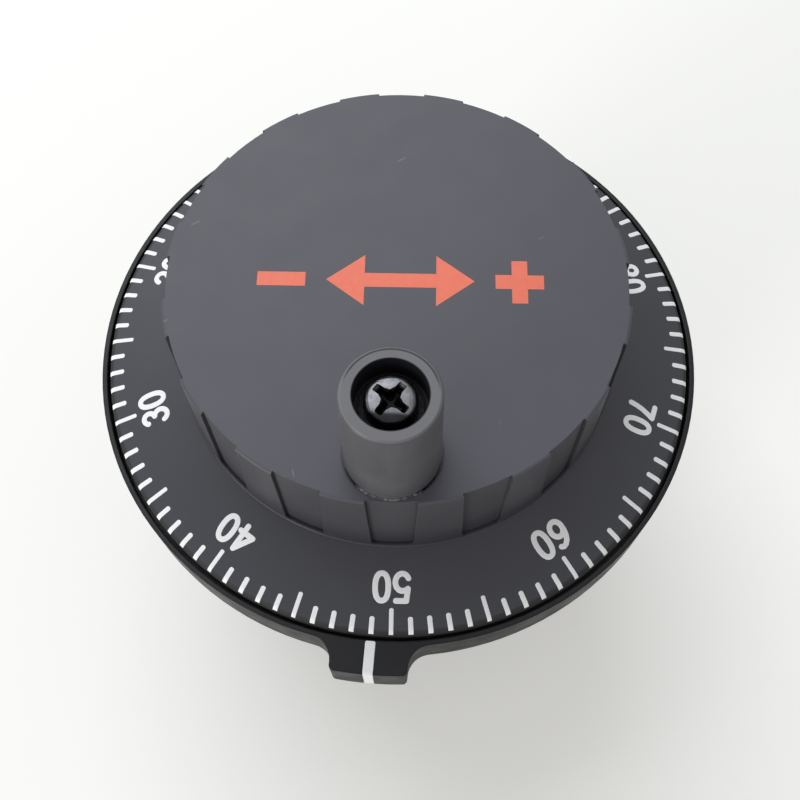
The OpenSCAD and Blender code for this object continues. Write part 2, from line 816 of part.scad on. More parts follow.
module crank_screw() {
  color(nickel)
    on_crank()
      translate([0, 0, head_z]) {
        rotate_extrude()
          polygon(head_r * concat([[0, 0], [0.93, 0], [1, 0.09]],
            arc(0.71, 0.31, 0.29, 0, 60, 4), [[0.55, 0.665], [0.29, 0.716], [0, 0.727]]));
        translate([0, 0, top_z - head_z - crank_insert_h + 0.5])
          cylinder(r = m3_r, h = head_z - top_z + crank_insert_h - 0.5 + e, $fn = 32);
      }
}

// Spinning sleeve with a counterbore for the screw's head
module crank_sleeve() {
  color(black)
  on_crank()
  difference() {
    rotate_extrude($fn = 96)
      polygon([[0, sleeve_z], [crank_foot_d / 2 - 0.35, sleeve_z],
        [crank_foot_d / 2, sleeve_z + 0.35], [crank_foot_d / 2, sleeve_z + 0.6],
        [crank_top_d / 2, crank_top_z - 0.3],
        [crank_top_d / 2 - 0.3, crank_top_z], [0, crank_top_z]]);
    translate([0, 0, sleeve_z - 1]) cylinder(r = bushing_r + running_c, h = crank_h + 2, $fn = 48);
    translate([0, 0, ledge_z]) cylinder(d = counterbore_d, h = counterbore_h + 1, $fn = 60);
  }
}

// ---------------------------------------------------------------- bearing insides

module ball_set(z) {
  translate([0, 0, z + bearing_w / 2])
    for (i = [0 : ball_count - 1])
      rotate([0, 0, i * 360 / ball_count])
        translate([ball_pitch_r, 0, 0]) sphere(r = ball_r, $fn = 32);
}

// Crown cage: a ring with a pocket for each ball, closed on one side
module crown_cage(z) {
  translate([0, 0, z + bearing_w / 2])
    difference() {
      tube(ball_pitch_r + 0.45 * ball_r, ball_pitch_r - 0.45 * ball_r, -1.41 * ball_r, 1.96 * ball_r);
      for (i = [0 : ball_count - 1])
        rotate([0, 0, i * 360 / ball_count])
          translate([ball_pitch_r, 0, 0]) sphere(r = ball_r + 0.07, $fn = 32);
    }
}

module front_balls() {
  color(steel) ball_set(front_z);
}

module front_cage() {
  color([0.85, 0.8, 0.65]) crown_cage(front_z);
}

module rear_balls() {
  color(steel) ball_set(rear_z);
}

module rear_cage() {
  color([0.85, 0.8, 0.65]) crown_cage(rear_z);
}

bezel();
panel_gasket();
shaft_seal();
outer_races();
preload_spring();
detent_stator();
rear_shell();
shell_screws();
circuit_board();
board_screws();
sensor_chip();
board_parts();
terminal_block();
block_screws();
terminal_contacts();
terminal_washers();
terminal_screws();
handwheel();
hub_insert();
grub_screws();
shaft();
inner_races();
bearing_spacer();
retaining_ring();
rotor_hub();
rotor_plates();
rotor_magnet();
disc_spacer();
code_disc();
disc_nut();
end_washer();
end_screw();
crank_insert();
foot_washer();
crank_bushing();
crank_washer();
crank_screw();
crank_sleeve();
front_balls();
front_cage();
rear_balls();
rear_cage();
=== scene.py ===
"""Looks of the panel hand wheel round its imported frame: finishes, dial marks, screws and a plain studio."""
import json
import math

import bmesh
import bpy
from mathutils import Euler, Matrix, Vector
from mathutils.geometry import delaunay_2d_cdt


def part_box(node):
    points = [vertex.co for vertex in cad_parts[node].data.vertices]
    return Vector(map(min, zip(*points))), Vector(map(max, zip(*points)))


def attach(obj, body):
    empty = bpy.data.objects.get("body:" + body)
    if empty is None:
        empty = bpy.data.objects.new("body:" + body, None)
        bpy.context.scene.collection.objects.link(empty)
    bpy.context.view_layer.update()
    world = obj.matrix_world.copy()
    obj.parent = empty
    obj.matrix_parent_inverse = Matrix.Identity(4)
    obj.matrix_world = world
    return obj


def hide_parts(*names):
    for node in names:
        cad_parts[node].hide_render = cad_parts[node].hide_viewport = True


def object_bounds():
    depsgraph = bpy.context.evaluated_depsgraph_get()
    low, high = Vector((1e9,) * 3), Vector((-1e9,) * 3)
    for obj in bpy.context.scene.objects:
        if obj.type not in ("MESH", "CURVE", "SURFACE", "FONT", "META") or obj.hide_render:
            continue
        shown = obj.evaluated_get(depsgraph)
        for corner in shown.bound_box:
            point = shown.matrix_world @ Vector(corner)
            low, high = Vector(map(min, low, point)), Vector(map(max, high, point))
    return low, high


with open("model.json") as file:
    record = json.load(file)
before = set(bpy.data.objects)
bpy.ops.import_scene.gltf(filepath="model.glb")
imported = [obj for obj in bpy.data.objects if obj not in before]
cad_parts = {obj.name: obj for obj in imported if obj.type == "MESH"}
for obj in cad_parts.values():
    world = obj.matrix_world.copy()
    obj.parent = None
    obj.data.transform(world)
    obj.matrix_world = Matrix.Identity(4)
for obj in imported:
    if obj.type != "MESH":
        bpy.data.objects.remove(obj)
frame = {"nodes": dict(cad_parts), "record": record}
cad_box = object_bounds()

MM = 0.001
X_AXIS = Vector((1.0, 0.0, 0.0))
Y_AXIS = Vector((0.0, 1.0, 0.0))
Z_AXIS = Vector((0.0, 0.0, 1.0))


def reach(node):
    """Lowest and highest corner of a frame node, in millimetres."""
    low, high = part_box(node)
    return Vector(low) / MM, Vector(high) / MM


# ---------------------------------------------------------------- node trees


def feed(tree, socket, value):
    """Links value to the socket where it is a socket, and sets it there where it is a number or a colour."""
    if isinstance(value, bpy.types.NodeSocket):
        tree.links.new(value, socket)
    else:
        socket.default_value = value


def add_node(tree, kind, setting=None, **inputs):
    """A node of that kind, with its settings, and its named inputs fed."""
    node = tree.nodes.new(kind)
    for key, value in (setting or {}).items():
        setattr(node, key, value)
    for name, value in inputs.items():
        feed(tree, node.inputs[name.replace("_", " ")], value)
    return node


def maths(tree, operation, a, b=0.0, c=0.0):
    """One step of arithmetic."""
    node = add_node(tree, "ShaderNodeMath", {"operation": operation})
    for socket, value in zip(node.inputs, (a, b, c)):
        feed(tree, socket, value)
    return node.outputs[0]


def smooth_span(tree, value, low, high, to_low=0.0, to_high=1.0):
    """value carried from one span to another, held at the ends."""
    node = add_node(tree, "ShaderNodeMapRange", {"interpolation_type": "SMOOTHSTEP"}, Value=value)
    for name, number in (("From Min", low), ("From Max", high), ("To Min", to_low), ("To Max", to_high)):
        node.inputs[name].default_value = number
    return node.outputs["Result"]


# ---------------------------------------------------------------- studio

LENS = 47.39
CAMERA_AT = (6.226, -62.951, 135.523)
CAMERA_TURN = (23.417, 0.294, 4.801)
LIGHT_AIM = Vector((0.0, 0.0, 0.02))
SURROUND_FILL = 0.40
FLOOR_DROP = 0.3
FLOOR_WIDTH = 6.0
FLOOR_COLOUR = (0.80, 0.797, 0.765, 1.0)
NEAR_R, NEAR_LIFT = 0.22, 0.26
FAR_R, FAR_LIFT = 1.6, 0.72
WHITE_LIGHT = (1.0, 1.0, 1.0, 1.0)


def soft_light(name, place, width, radiance, tint):
    """A square soft box with an even face, aimed at the object."""
    lamp = bpy.data.lights.new(name, "AREA")
    lamp.shape = "SQUARE"
    lamp.size = width
    lamp.energy = radiance * math.pi * width * width
    lamp.color = tint
    box = bpy.data.objects.new(name, lamp)
    bpy.context.scene.collection.objects.link(box)
    box.location = place
    box.rotation_euler = (LIGHT_AIM - Vector(place)).to_track_quat("-Z", "Y").to_euler()


def white_surround():
    """Even fill light from all round, which shows as white behind the object and in its gloss."""
    world = bpy.data.worlds.new("surround")
    bpy.context.scene.world = world
    world.use_nodes = True
    tree = world.node_tree
    dim = tree.nodes["Background"]
    dim.inputs["Color"].default_value = WHITE_LIGHT
    dim.inputs["Strength"].default_value = SURROUND_FILL
    white = add_node(tree, "ShaderNodeBackground", Color=WHITE_LIGHT, Strength=1.0)
    ray = add_node(tree, "ShaderNodeLightPath").outputs
    seen = maths(tree, "MAXIMUM", ray["Is Camera Ray"], ray["Is Transmission Ray"])
    mix = add_node(tree, "ShaderNodeMixShader", Fac=maths(tree, "MAXIMUM", seen, ray["Is Glossy Ray"]))
    tree.links.new(dim.outputs[0], mix.inputs[1])
    tree.links.new(white.outputs[0], mix.inputs[2])
    tree.links.new(mix.outputs[0], tree.nodes["World Output"].inputs["Surface"])


def floor_paper():
    """Pale matt paper that looks whiter the further out it lies, and keeps the object's shadow."""
    paper = bpy.data.materials.new("floor_paper")
    paper.use_nodes = True
    tree = paper.node_tree
    base = tree.nodes["Principled BSDF"]
    base.inputs["Base Color"].default_value = FLOOR_COLOUR
    base.inputs["Roughness"].default_value = 0.9
    base.inputs["Specular IOR Level"].default_value = 0.0
    place = add_node(tree, "ShaderNodeTexCoord").outputs["Object"]
    out = add_node(tree, "ShaderNodeVectorMath", {"operation": "LENGTH"})
    tree.links.new(place, out.inputs[0])
    fade = smooth_span(tree, out.outputs["Value"], NEAR_R, FAR_R, NEAR_LIFT, FAR_LIFT)
    ray = add_node(tree, "ShaderNodeLightPath").outputs
    lift = maths(tree, "MULTIPLY", ray["Is Camera Ray"], fade)
    glow = add_node(tree, "ShaderNodeEmission", Color=(1.0, 1.0, 0.99, 1.0), Strength=lift)
    both = add_node(tree, "ShaderNodeAddShader")
    tree.links.new(base.outputs[0], both.inputs[0])
    tree.links.new(glow.outputs[0], both.inputs[1])
    tree.links.new(both.outputs[0], tree.nodes["Material Output"].inputs["Surface"])
    return paper


def pale_floor():
    """A plain floor just under the object."""
    shape = bmesh.new()
    bmesh.ops.create_grid(shape, x_segments=8, y_segments=8, size=FLOOR_WIDTH / 2)
    data = bpy.data.meshes.new("floor")
    shape.to_mesh(data)
    shape.free()
    data.materials.append(floor_paper())
    floor = bpy.data.objects.new("floor", data)
    bpy.context.scene.collection.objects.link(floor)
    floor.location.z = cad_box[0][2] - FLOOR_DROP * MM


def studio():
    """Camera, two soft boxes, white surround and floor."""
    scene = bpy.context.scene
    scene.view_settings.view_transform = "Standard"
    lens = bpy.data.cameras.new("camera")
    lens.sensor_width = 36.0
    lens.lens = LENS
    lens.clip_start = 0.005
    camera = bpy.data.objects.new("camera", lens)
    scene.collection.objects.link(camera)
    camera.location = Vector(CAMERA_AT) * MM
    camera.rotation_euler = Euler([math.radians(angle) for angle in CAMERA_TURN])
    scene.camera = camera
    soft_light("overhead_soft_box", place=(-0.30, 0.55, 0.75), width=0.86, radiance=2.80,
               tint=(0.92, 0.96, 1.0))
    soft_light("low_front_box", place=(-0.70, -0.77, 0.20), width=0.42, radiance=10.5,
               tint=(1.0, 0.98, 0.97))
    white_surround()
    pale_floor()


# ---------------------------------------------------------------- finishes


class Finish:
    """A material on Object coordinates. Values that don't vary sit on the shader's own sockets."""

    def __init__(self, name, rough, metallic=0.0, **sockets):
        self.material = bpy.data.materials.new(name)
        self.material.use_nodes = True
        self.tree = self.material.node_tree
        self.shader = self.tree.nodes["Principled BSDF"]
        for socket, value in {"Roughness": rough, "Metallic": metallic, **sockets}.items():
            self.shader.inputs[socket.replace("_", " ")].default_value = value
        self.place = self.add("ShaderNodeTexCoord").outputs["Object"]
        self.spot = self.add("ShaderNodeSeparateXYZ", Vector=self.place).outputs

    def add(self, kind, setting=None, **inputs):
        return add_node(self.tree, kind, setting, **inputs)

    def maths(self, operation, a, b=0.0):
        return maths(self.tree, operation, a, b)

    def times(self, a, b):
        return maths(self.tree, "MULTIPLY", a, b)

    def span(self, value, low, high, to_low=0.0, to_high=1.0):
        return smooth_span(self.tree, value, low, high, to_low, to_high)

    def uneven(self, cloud, low, high):
        """A value that wanders between low and high with a cloud."""
        return self.span(cloud, 0.3, 0.7, low, high)

    def ramp(self, axis, start, end):
        """0 to 1 as that coordinate goes from start to end, in millimetres."""
        return self.span(self.spot[axis], start * MM, end * MM)

    def cloud(self, size, detail=2.0, stretch=(1.0, 1.0, 1.0), turn=0.0):
        """Soft noise whose patches are about size millimetres across."""
        where = self.add("ShaderNodeMapping", Vector=self.place, Scale=stretch, Rotation=(0.0, 0.0, turn))
        noise = self.add("ShaderNodeTexNoise",
                         Vector=where.outputs[0], Scale=1.0 / (size * MM), Detail=detail)
        return noise.outputs["Fac"]

    def specks(self, spacing, radius, share, shape=(1.0, 1.0, 1.0), turn=0.0):
        """1 inside small specks, in some cells of that spacing, and 0 elsewhere. A thin shape makes nicks."""
        where = self.add("ShaderNodeMapping", {"vector_type": "TEXTURE"},
                         Vector=self.place, Scale=shape, Rotation=(0.0, 0.0, turn))
        cells = self.add("ShaderNodeTexVoronoi", Vector=where.outputs[0], Scale=1.0 / (spacing * MM))
        near = self.span(cells.outputs["Distance"], radius / spacing, 0.5 * radius / spacing)
        pick = self.add("ShaderNodeSeparateColor", Color=cells.outputs["Color"]).outputs[0]
        return self.times(near, self.maths("LESS_THAN", pick, share))

    def hairlines(self, size, share, turn):
        """1 on short fine scratches that run one way, in patches, and 0 elsewhere."""
        long_cloud = self.cloud(size, 1.0, (1.0, 16.0, 1.0), turn)
        thin = self.span(self.maths("ABSOLUTE", self.maths("SUBTRACT", long_cloud, 0.5)), 0.006, 0.0)
        patch = self.span(self.cloud(size * 1.7, 1.0), 1.0 - share, 1.04 - share)
        return self.times(thin, patch)

    def blend(self, factor, a, b):
        """Colour a where factor is 0 and b where it is 1."""
        node = self.add("ShaderNodeMix", {"data_type": "RGBA"}, Factor=factor)
        for socket, colour in ((node.inputs[6], a), (node.inputs[7], b)):
            feed(self.tree, socket, colour if isinstance(colour, bpy.types.NodeSocket) else (*colour, 1.0))
        return node.outputs[2]

    def over(self, tone, mask, amount, colour):
        """tone with colour laid over it by that amount where mask is 1."""
        return self.blend(self.times(mask, amount), tone, colour)

    def bump(self, height, depth, under=None):
        """Fine relief, depth millimetres deep where height goes from 0 to 1."""
        node = self.add("ShaderNodeBump", Height=height, Strength=1.0, Distance=depth * MM)
        if under is not None:
            self.tree.links.new(under, node.inputs["Normal"])
        return node.outputs[0]

    def soft_edge(self, radius):
        """Normals that round each corner a little, so that it catches light."""
        return self.add("ShaderNodeBevel", {"samples": 6}, Radius=radius * MM).outputs[0]

    def open_face(self, width):
        """1 on open faces and 0 in inner corners, where painted shade is laid."""
        node = self.add("ShaderNodeAmbientOcclusion", {"samples": 8}, Distance=width * MM)
        return self.span(node.outputs["AO"], 0.48, 0.86)

    def radius_from(self, point):
        """Distance from an upright axis through the point, in millimetres."""
        a = self.maths("SUBTRACT", self.spot["X"], point.x * MM)
        b = self.maths("SUBTRACT", self.spot["Y"], point.y * MM)
        square = self.maths("ADD", self.times(a, a), self.times(b, b))
        return self.maths("DIVIDE", self.maths("SQRT", square), MM)

    def turning_marks(self, pitch):
        """Fine rings round the shaft axis."""
        return self.add(
            "ShaderNodeTexWave", {"wave_type": "RINGS", "rings_direction": "Z"},
            Vector=self.place, Scale=1.0 / (pitch * MM) / 3.2, Distortion=0.6, Detail=1.0,
        ).outputs["Fac"]

    def finish(self, colour, rough, normal):
        for name, value in (("Base Color", colour), ("Roughness", rough), ("Normal", normal)):
            self.tree.links.new(value, self.shader.inputs[name])
        return self.material


def moulded(name, dark, light, rough, grain=0.10, depth=0.012, edge=0.12, dust=0.05,
            scratch=0.0, crevice_shade=0.0, **sockets):
    """Satin moulded plastic: spark-eroded grain, faint clouding, a little dust and fine wear. Given a corner
    width, inner corners get painted shade.
    """
    f = Finish(name, rough, **sockets)
    tone = f.blend(f.cloud(9.0, 3.0), dark, light)
    # painted shade: inner corners within that width are darkened nearly to black, and made rougher
    if crevice_shade:
        unshaded = f.open_face(crevice_shade)
        tone = f.blend(unshaded, (0.003, 0.003, 0.004), tone)
    marks = f.specks(2.6, 0.07, dust)
    if scratch:
        marks = f.maths("MAXIMUM", marks, f.times(f.hairlines(7.0, scratch, 0.5), 0.8))
    pale = tuple(min(1.0, 3.2 * c + 0.05) for c in light)
    tone = f.blend(marks, tone, pale)
    sheen = f.uneven(f.cloud(5.0, 3.0), rough - 0.012, rough + 0.016)
    if crevice_shade:
        sheen = f.maths("SUBTRACT", 1.0, f.times(unshaded, f.maths("SUBTRACT", 1.0, sheen)))
    return f, tone, sheen, f.bump(f.cloud(grain, 1.0), depth, f.soft_edge(edge))


def plain_moulding(name, dark, light, rough, **more):
    """Moulded plastic with nothing laid over it."""
    f, tone, sheen, relief = moulded(name, dark, light, rough, **more)
    return f.finish(tone, sheen, relief)


def machined(name, colour, rough, streak=0.35, depth=0.004, tint=0.85):
    """Bare or plated metal with fine tool marks and slight tarnish."""
    f = Finish(name, rough, metallic=1.0)
    tone = f.blend(f.cloud(2.5, 3.0), tuple(tint * c for c in colour), colour)
    marks = f.cloud(streak, 2.0, (1.0, 1.0, 12.0))
    return f.finish(tone, f.uneven(marks, rough - 0.07, rough + 0.09),
                    f.bump(marks, depth, f.soft_edge(0.08)))


def wheel_finish():
    """Charcoal moulding of dial and knob. The knob gets painted light over the dial, and its flat top a
    painted sheen over a slightly paler finish, with a few nicks; inner corners and the dial's edge get
    painted shade.
    """
    f, tone, sheen, relief = moulded(
        "charcoal_wheel_moulding", (0.0228, 0.0236, 0.0315), (0.0262, 0.0271, 0.0357), 0.50,
        grain=0.16, depth=0.010, edge=0.10, dust=0.035, scratch=0.12, crevice_shade=0.8)
    # painted light: the knob's wall and top are lightened over the dial, standing in for the front light on
    # them
    tone = f.over(tone, f.ramp("Z", 10.3, 17.0), 0.40, (0.080, 0.079, 0.086))
    top = f.ramp("Z", 25.15, 25.35)
    # painted sheen: the flat top is lightened and blued for the overhead light's reflection, over its
    # slightly paler finish
    tone = f.over(tone, top, 0.20, (0.088, 0.092, 0.136))
    nicks = f.maths("MAXIMUM", f.specks(7.0, 0.70, 0.05, (1.0, 0.13, 3.0), 1.9),
                    f.specks(9.0, 0.90, 0.06, (1.0, 0.11, 3.0), 0.6))
    tone = f.over(tone, f.times(nicks, top), 0.6, (0.19, 0.19, 0.20))
    # painted shade: the dial's rounded outer edge is darkened nearly to black, and made rougher
    dial_edge_shade = f.span(f.radius_from(Vector()), 38.10, 38.50)
    tone = f.blend(dial_edge_shade, tone, (0.008, 0.008, 0.009))
    return f.finish(tone, f.maths("ADD", sheen, f.times(dial_edge_shade, 0.25)), relief)


def bezel_finish():
    """Black coated die casting: a slight orange peel and a little dust."""
    f = Finish("black_bezel_coat", 0.34, Specular_IOR_Level=0.21)
    tone = f.blend(f.cloud(6.0, 3.0), (0.0056, 0.0056, 0.0068), (0.0084, 0.0084, 0.0102))
    tone = f.blend(f.specks(2.2, 0.06, 0.06), tone, (0.16, 0.16, 0.15))
    return f.finish(tone, f.uneven(f.cloud(3.0, 3.0), 0.30, 0.42),
                    f.bump(f.cloud(0.55, 2.0), 0.012, f.soft_edge(0.30)))


def crank_finish():
    """Charcoal moulding of the crank sleeve: handled, with painted shade in its bore, towards its foot and in
    a line by its far rim, and a painted highlight on its top face.
    """
    f, tone, sheen, relief = moulded(
        "charcoal_crank_moulding", (0.089, 0.088, 0.097), (0.101, 0.100, 0.109), 0.46,
        grain=0.14, depth=0.008, edge=0.10, dust=0.02, Specular_IOR_Level=0.26)
    low, high = reach("crank_sleeve")
    middle = (low + high) / 2
    across = f.radius_from(middle)
    # dark tone of the handled patches of grease, used again below as painted shade towards the foot
    grease_and_foot_shade = (0.040, 0.039, 0.046)
    handled = f.span(f.cloud(4.0, 3.0, (1.0, 1.0, 0.5)), 0.42, 0.62)
    tone = f.over(tone, handled, 0.28, grease_and_foot_shade)
    # painted shade: the sleeve is darker towards its foot, where it stands on the knob
    tone = f.over(tone, f.ramp("Z", low.z + 4.5, low.z + 0.4), 0.45, grease_and_foot_shade)
    # painted highlight: the top face is lightened
    tone = f.over(tone, f.ramp("Z", high.z - 0.30, high.z - 0.05), 0.5, (0.240, 0.239, 0.248))
    # painted shade: inside the counterbore the sleeve is darkened nearly to black
    tone = f.blend(f.span(across, 3.98, 3.90), tone, (0.009, 0.009, 0.012))
    # painted shade: a dark line just inside the rim, on the far side only
    rim_shade_line = f.times(f.span(across, 4.70, 4.80), f.span(across, 4.98, 4.90))
    rim_shade_line = f.times(rim_shade_line, f.ramp("Z", high.z - 0.10, high.z - 0.05))
    far_side = f.ramp("Y", middle.y + 0.5, middle.y + 2.5)
    tone = f.over(tone, f.times(rim_shade_line, far_side), 0.9, (0.020, 0.020, 0.023))
    return f.finish(tone, sheen, relief)


def white_fill():
    """White engraving paint, slightly uneven and a little soiled."""
    f = Finish("white_mark_fill", 0.5)
    tone = f.blend(f.cloud(0.9, 3.0), (0.92, 0.92, 0.93), (0.97, 0.97, 0.98))
    tone = f.blend(f.specks(0.9, 0.05, 0.08), tone, (0.30, 0.30, 0.31))
    return f.finish(tone, f.uneven(f.cloud(0.4), 0.42, 0.58), f.bump(f.cloud(0.12, 1.0), 0.006))


def orange_print():
    """Orange-red pad print with a faint mottling."""
    f = Finish("orange_red_print", 0.45)
    tone = f.blend(f.cloud(0.7, 3.0), (0.82, 0.150, 0.078), (0.90, 0.185, 0.101))
    return f.finish(tone, f.uneven(f.cloud(0.3), 0.38, 0.52), f.bump(f.cloud(0.14, 1.0), 0.004))


def nickel_finish():
    """Dark nickel plate of the crank screw, with painted shade: black in its recess and darker on its near
    side.
    """
    f = Finish("dark_nickel_plate", 0.26, metallic=1.0)
    tone = f.blend(f.cloud(0.9, 3.0), (0.08, 0.08, 0.09), (0.195, 0.195, 0.205))
    low, high = reach("crank_screw")
    middle = (low + high) / 2
    near = f.span(f.radius_from(middle), 2.30, 2.10)
    # painted shade: the recess is darkened nearly to black
    tone = f.blend(f.times(near, f.ramp("Z", high.z - 0.40, high.z - 0.70)), tone, (0.006, 0.006, 0.007))
    # painted shade: the near side of the head is darkened
    tone = f.over(tone, f.ramp("Y", middle.y - 1.30, middle.y - 1.75), 0.92, (0.016, 0.016, 0.018))
    return f.finish(tone, f.uneven(f.cloud(0.5, 3.0), 0.26, 0.40),
                    f.bump(f.cloud(0.25, 2.0), 0.006, f.soft_edge(0.06)))


def washer_finish():
    """Steel washer at the crank's foot: a painted glint along its front edge, and painted shade, dark steel,
    where the crank covers it.
    """
    f = Finish("washer_steel_glint_and_shade", 0.26, metallic=1.0)
    near_y = reach("foot_washer")[0].y
    # painted shade: the washer is dark steel under and beside the crank's foot
    shaded_steel = f.blend(f.cloud(1.2, 3.0), (0.020, 0.020, 0.021), (0.060, 0.060, 0.062))
    # painted highlight: its front edge is made bright
    front_glint = f.times(f.ramp("Y", near_y + 1.6, near_y + 0.8), f.span(f.cloud(1.6), 0.30, 0.62, 0.60, 1.0))
    tone = f.blend(front_glint, shaded_steel, (0.72, 0.72, 0.73))
    scuffs = f.cloud(0.35)
    return f.finish(tone, f.uneven(scuffs, 0.20, 0.36), f.bump(scuffs, 0.004))


def board_finish():
    """Green solder mask over copper traces, with its woven glass just showing."""
    f = Finish("green_solder_mask", 0.32)
    weave = f.times(f.cloud(0.5, 1.0, (1.0, 8.0, 1.0)), f.cloud(0.5, 1.0, (8.0, 1.0, 1.0)))
    tone = f.blend(weave, (0.006, 0.075, 0.030), (0.012, 0.120, 0.048))
    routes = f.cloud(4.5, 0.0)
    trace = f.times(f.span(routes, 0.485, 0.492), f.span(routes, 0.515, 0.508))
    tone = f.blend(trace, tone, (0.030, 0.190, 0.070))
    return f.finish(tone, f.span(weave, 0.1, 0.5, 0.26, 0.40), f.bump(weave, 0.01, f.soft_edge(0.08)))


def rubber_finish():
    """Black nitrile rubber, dull, with bloom and moulding pits."""
    f = Finish("black_nitrile_rubber", 0.78)
    tone = f.blend(f.cloud(3.0, 4.0), (0.014, 0.014, 0.014), (0.030, 0.030, 0.029))
    pitted = f.maths("ADD", f.cloud(0.2, 2.0), f.specks(0.7, 0.08, 0.3))
    return f.finish(tone, f.uneven(f.cloud(2.0), 0.70, 0.88), f.bump(pitted, 0.02, f.soft_edge(0.1)))


def shell_finish():
    """Glass-filled nylon of the rear shell, with its short fibres near the skin."""
    f, tone, sheen, relief = moulded(
        "glass_filled_nylon", (0.030, 0.030, 0.031), (0.042, 0.042, 0.043), 0.55,
        grain=0.18, depth=0.016, edge=0.15, dust=0.05)
    fibre = f.maths("MAXIMUM", f.hairlines(1.6, 0.45, 0.4), f.hairlines(1.9, 0.45, 2.1))
    return f.finish(f.over(tone, fibre, 0.35, (0.11, 0.11, 0.11)), sheen, relief)


def magnet_finish():
    """Sintered ferrite: dark grey and granular."""
    f = Finish("sintered_ferrite", 0.62)
    tone = f.blend(f.cloud(0.35, 4.0), (0.035, 0.034, 0.036), (0.075, 0.073, 0.078))
    return f.finish(tone, f.uneven(f.cloud(1.0), 0.52, 0.72), f.bump(f.cloud(0.12, 3.0), 0.03))


def disc_finish():
    """Etched stainless disc, brushed round its axis."""
    f = Finish("etched_disc_steel", 0.30, metallic=1.0)
    ring = f.turning_marks(0.35)
    tone = f.blend(ring, (0.46, 0.46, 0.47), (0.60, 0.60, 0.61))
    return f.finish(tone, f.span(ring, 0.0, 1.0, 0.24, 0.36), f.bump(ring, 0.003))


finish_of_slot = {
    "wheel_plastic": wheel_finish(),
    "black_paint": bezel_finish(),
    "crank_plastic": crank_finish(),
    "dark_nickel": nickel_finish(),
    "rubber": rubber_finish(),
    "body_plastic": shell_finish(),
    "terminal_plastic": plain_moulding(
        "black_phenolic_moulding", (0.020, 0.019, 0.018), (0.030, 0.028, 0.026), 0.36,
        grain=0.3, depth=0.008),
    "bearing_steel": machined("ground_bearing_steel", (0.56, 0.56, 0.57), 0.20, streak=0.25, depth=0.002),
    "bright_steel": machined("bright_turned_steel", (0.63, 0.63, 0.64), 0.22, streak=0.2),
    "iron": machined("soft_iron", (0.36, 0.35, 0.34), 0.42, streak=0.6, depth=0.008),
    "plated_steel": machined("zinc_plated_steel", (0.66, 0.67, 0.70), 0.30, streak=0.5),
    "black_steel": machined("blackened_steel", (0.055, 0.055, 0.060), 0.38, streak=0.4),
    "contact_brass": machined("turned_brass", (0.78, 0.57, 0.26), 0.28, streak=0.4),
    "disc_steel": disc_finish(),
    "magnet": magnet_finish(),
    "board": board_finish(),
    "chip": plain_moulding("black_epoxy", (0.016, 0.016, 0.017), (0.024, 0.024, 0.025), 0.42, grain=0.12),
    "cage_nylon": plain_moulding("natural_nylon", (0.62, 0.58, 0.48), (0.70, 0.66, 0.56), 0.40, grain=0.2,
                                 Subsurface_Weight=0.08, Subsurface_Scale=0.002),
}
finish_of_node = {
    "foot_washer": washer_finish(),
    "crank_washer": machined("oily_black_washer", (0.016, 0.016, 0.018), 0.50, tint=0.6),
}
WHITE = white_fill()
ORANGE = orange_print()

slot_of_node = {row["node"]: row["material_slot"] for row in frame["record"]["subparts"]}
for node, solid in frame["nodes"].items():
    for slot in solid.material_slots:
        slot.material = finish_of_node.get(node) or finish_of_slot[slot_of_node[node]]


# ---------------------------------------------------------------- making pieces


def closed_mesh(name, verts, faces, material):
    """An object at the origin with a closed mesh, whose points are given in millimetres."""
    shape = bmesh.new()
    points = [shape.verts.new(v) for v in verts]
    for face in faces:
        shape.faces.new([points[i] for i in face])
    bmesh.ops.remove_doubles(shape, verts=shape.verts, dist=1e-4)
    bmesh.ops.recalc_face_normals(shape, faces=shape.faces)
    bmesh.ops.scale(shape, vec=(MM, MM, MM), verts=shape.verts)
    data = bpy.data.meshes.new(name)
    shape.to_mesh(data)
    shape.free()
    data.materials.append(material)
    thing = bpy.data.objects.new(name, data)
    bpy.context.scene.collection.objects.link(thing)
    return thing


def piece(name, part, material, body):
    """A closed mesh that rides on a body."""
    thing = closed_mesh(name, *part, material)
    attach(thing, body)
    return thing


def joined(parts):
    """Several (verts, faces) parts as one."""
    verts, faces = [], []
    for some_verts, some_faces in parts:
        start = len(verts)
        verts += some_verts
        faces += [[i + start for i in face] for face in some_faces]
    return verts, faces


def placed(part, origin, along=X_AXIS, up=Y_AXIS, proud=Z_AXIS):
    """A (verts, faces) part stood at the origin given, with its x, y and z along those directions."""
    verts, faces = part
    return [origin + along * v.x + up * v.y + proud * v.z for v in verts], faces


def loft(rings):
    """Closed skin through rings of equal count, with both ends fanned to a middle point."""
    count = len(rings[0])
    verts = [p for ring in rings for p in ring]
    faces = []
    for r in range(len(rings) - 1):
        for i in range(count):
            j = (i + 1) % count
            a, b = r * count, (r + 1) * count
            faces.append([a + i, a + j, b + j, b + i])
    for r in (0, len(rings) - 1):
        verts.append(sum(rings[r], Vector()) / count)
        faces += [[r * count + i, r * count + (i + 1) % count, len(verts) - 1] for i in range(count)]
    return verts, faces


# ---------------------------------------------------------------- painted marks

INK_SUNK = 0.03
INK_LIFT = 0.03
SLOPED_RIM = 0.06


def arc(x, y, rx, ry, start, end, steps=18, power=1.0):
    """Points on an oval arc, angles in degrees. A power under 1 squares the oval a little."""
    points = []
    for i in range(steps + 1):
        a = math.radians(start + (end - start) * i / steps)
        c, s = math.cos(a), math.sin(a)
        out_x = math.copysign(abs(c) ** power, c)
        out_y = math.copysign(abs(s) ** power, s)
        points.append(Vector((x + rx * out_x, y + ry * out_y)))
    return points


def line(*pairs):
    """Points joined by straight lines."""
    return [Vector(p) for p in pairs]


